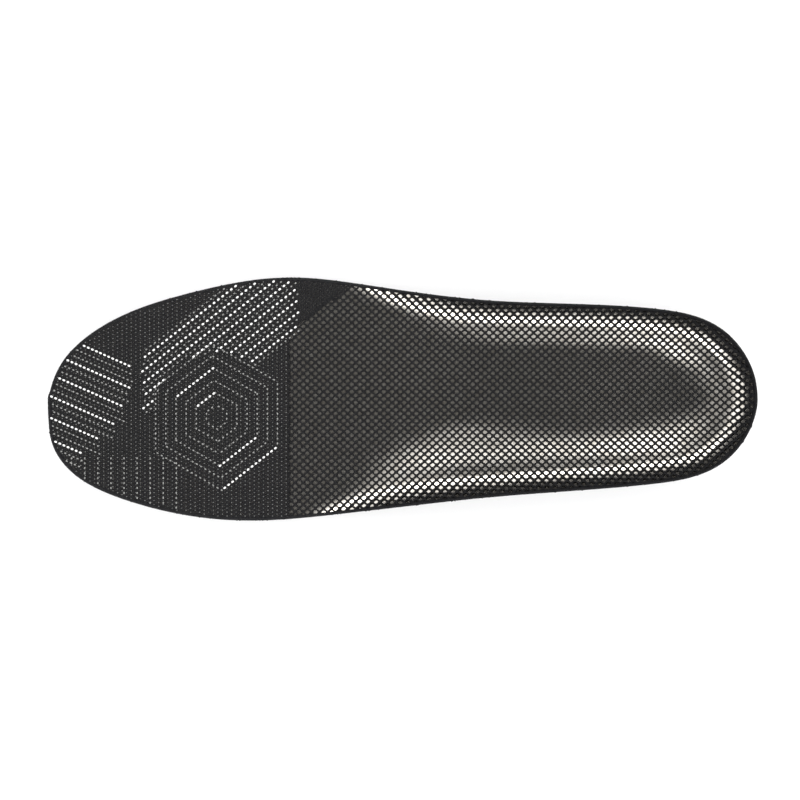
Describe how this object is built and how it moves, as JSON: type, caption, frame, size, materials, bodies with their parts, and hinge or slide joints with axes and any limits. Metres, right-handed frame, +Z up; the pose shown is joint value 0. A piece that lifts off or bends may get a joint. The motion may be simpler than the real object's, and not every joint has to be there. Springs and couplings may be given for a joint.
{
  "type": "cushioned insole",
  "caption": "Removable cushioned shoe insole with open mesh cover over a foil layer, raised arch flank, deep heel cup, foam layers, heel pad and flexible forefoot.",
  "frame": {"origin": "centre of the box at the floor the insole stands on", "axes": "+X from heel to toe, +Y to the inner side of the foot, +Z up"},
  "size_m": [0.2694, 0.0933, 0.0218],
  "materials": {
    "cover_cloth": "open black knit mesh",
    "reflective_foil": "satin metallised film",
    "comfort_foam": "fine closed-cell foam",
    "base_foam": "moulded foam",
    "shell_plastic": "satin moulded nylon",
    "gel": "soft gel",
    "lining_cloth": "fine brushed lining"
  },
  "bodies": {
    "rear": {"top_cloth": "cover_cloth", "reflective_film": "reflective_foil", "comfort_foam_rear": "comfort_foam", "support_base": "base_foam", "stabiliser_shell": "shell_plastic", "heel_pad": "gel"},
    "front": {"comfort_foam_front": "comfort_foam", "forefoot_base": "base_foam", "forefoot_pad": "gel", "grip_lining": "lining_cloth"}
  },
  "joints": [
    {"name": "toe_flex", "type": "hinge", "parent": "rear", "child": "front", "pos_m": [0.04, 0, 0.0052], "axis": [-0.213, -0.977, 0], "range_deg": [0, 50], "stiffness_Nm_per_rad": 0.5, "deforming": ["top_cloth", "reflective_film"]}
  ]
}
